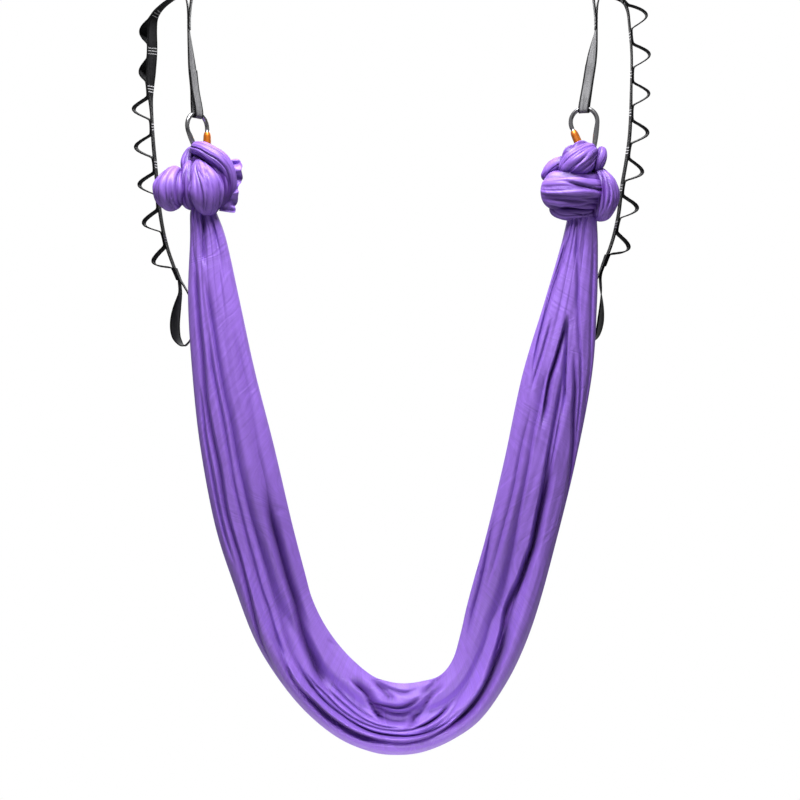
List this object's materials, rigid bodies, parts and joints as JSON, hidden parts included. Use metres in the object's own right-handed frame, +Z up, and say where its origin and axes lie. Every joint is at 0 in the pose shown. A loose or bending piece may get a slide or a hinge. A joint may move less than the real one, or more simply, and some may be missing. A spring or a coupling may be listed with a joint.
{
  "type": "aerial hammock",
  "caption": "Purple aerial hammock: a cloth sling knotted to screw-gate carabiners and hung on black daisy-chain webbing from two more carabiners.",
  "frame": {"origin": "where the ceiling eye bears in the left ceiling carabiner, on the underside of its narrow end", "axes": "+Z up; +X from the left hanging point to the right one, as the picture shows them; +Y away from the viewer"},
  "size_m": [1.1968, 0.15, 1.9077],
  "materials": {
    "polished_steel": "polished",
    "spring_steel": "satin",
    "orange_anodising": "anodised orange",
    "black_webbing": "woven, slight sheen",
    "purple_cloth": "satin tricot"
  },
  "bodies": {
    "ceiling_carabiners": {"left_ceiling_frame": "polished_steel", "left_ceiling_rivet": "polished_steel", "right_ceiling_frame": "polished_steel", "right_ceiling_rivet": "polished_steel"},
    "hammock": {"left_hammock_frame": "polished_steel", "left_hammock_rivet": "polished_steel", "left_chain_backbone": "black_webbing", "left_chain_pockets": "black_webbing", "left_knot": "purple_cloth", "right_hammock_frame": "polished_steel", "right_hammock_rivet": "polished_steel", "right_chain_backbone": "black_webbing", "right_chain_pockets": "black_webbing", "right_knot": "purple_cloth", "sling_cloth": "purple_cloth"},
    "left_ceiling_gate": {"left_ceiling_gate": "polished_steel", "left_ceiling_gate_spring": "spring_steel", "left_ceiling_gate_pusher": "polished_steel"},
    "left_ceiling_sleeve": {"left_ceiling_sleeve": "orange_anodising"},
    "left_hammock_gate": {"left_hammock_gate": "polished_steel", "left_hammock_gate_spring": "spring_steel", "left_hammock_gate_pusher": "polished_steel"},
    "left_hammock_sleeve": {"left_hammock_sleeve": "orange_anodising"},
    "right_ceiling_gate": {"right_ceiling_gate": "polished_steel", "right_ceiling_gate_spring": "spring_steel", "right_ceiling_gate_pusher": "polished_steel"},
    "right_ceiling_sleeve": {"right_ceiling_sleeve": "orange_anodising"},
    "right_hammock_gate": {"right_hammock_gate": "polished_steel", "right_hammock_gate_spring": "spring_steel", "right_hammock_gate_pusher": "polished_steel"},
    "right_hammock_sleeve": {"right_hammock_sleeve": "orange_anodising"}
  },
  "joints": [
    {"name": "swing", "type": "hinge", "parent": "ceiling_carabiners", "child": "hammock", "pos_m": [0, 0, -0.0675], "axis": [1, 0, 0], "range_deg": [-40, 40]},
    {"name": "left_ceiling_gate_hinge", "type": "hinge", "parent": "ceiling_carabiners", "child": "left_ceiling_gate", "pos_m": [0, 0.01701, -0.01208], "axis": [-1, 0, 0], "range_deg": [0, 25], "stiffness_Nm_per_rad": 0.4, "springref_deg": -34.38},
    {"name": "left_ceiling_sleeve_slide", "type": "slide", "parent": "left_ceiling_gate", "child": "left_ceiling_sleeve", "axis": [0, 0.2632, -0.9648], "range_m": [0, 0.00493]},
    {"name": "left_hammock_gate_hinge", "type": "hinge", "parent": "hammock", "child": "left_hammock_gate", "pos_m": [0.03879, 0.02358, -0.49263], "axis": [0.766, -0.6428, 0], "range_deg": [0, 25], "stiffness_Nm_per_rad": 0.4, "springref_deg": -34.38},
    {"name": "left_hammock_sleeve_slide", "type": "slide", "parent": "left_hammock_gate", "child": "left_hammock_sleeve", "axis": [0.0029, 0.0034, 1], "range_m": [0, 0.00493]},
    {"name": "right_ceiling_gate_hinge", "type": "hinge", "parent": "ceiling_carabiners", "child": "right_ceiling_gate", "pos_m": [0.936, 0.01701, -0.01208], "axis": [-1, 0, 0], "range_deg": [0, 25], "stiffness_Nm_per_rad": 0.4, "springref_deg": -34.38},
    {"name": "right_ceiling_sleeve_slide", "type": "slide", "parent": "right_ceiling_gate", "child": "right_ceiling_sleeve", "axis": [0, 0.2632, -0.9648], "range_m": [0, 0.00493]},
    {"name": "right_hammock_gate_hinge", "type": "hinge", "parent": "hammock", "child": "right_hammock_gate", "pos_m": [0.89958, 0.00236, -0.48875], "axis": [0.2588, 0.9659, 0], "range_deg": [0, 25], "stiffness_Nm_per_rad": 0.4, "springref_deg": -34.38},
    {"name": "right_hammock_sleeve_slide", "type": "slide", "parent": "right_hammock_gate", "child": "right_hammock_sleeve", "axis": [-0.3814, 0.1022, 0.9187], "range_m": [0, 0.00493]}
  ]
}
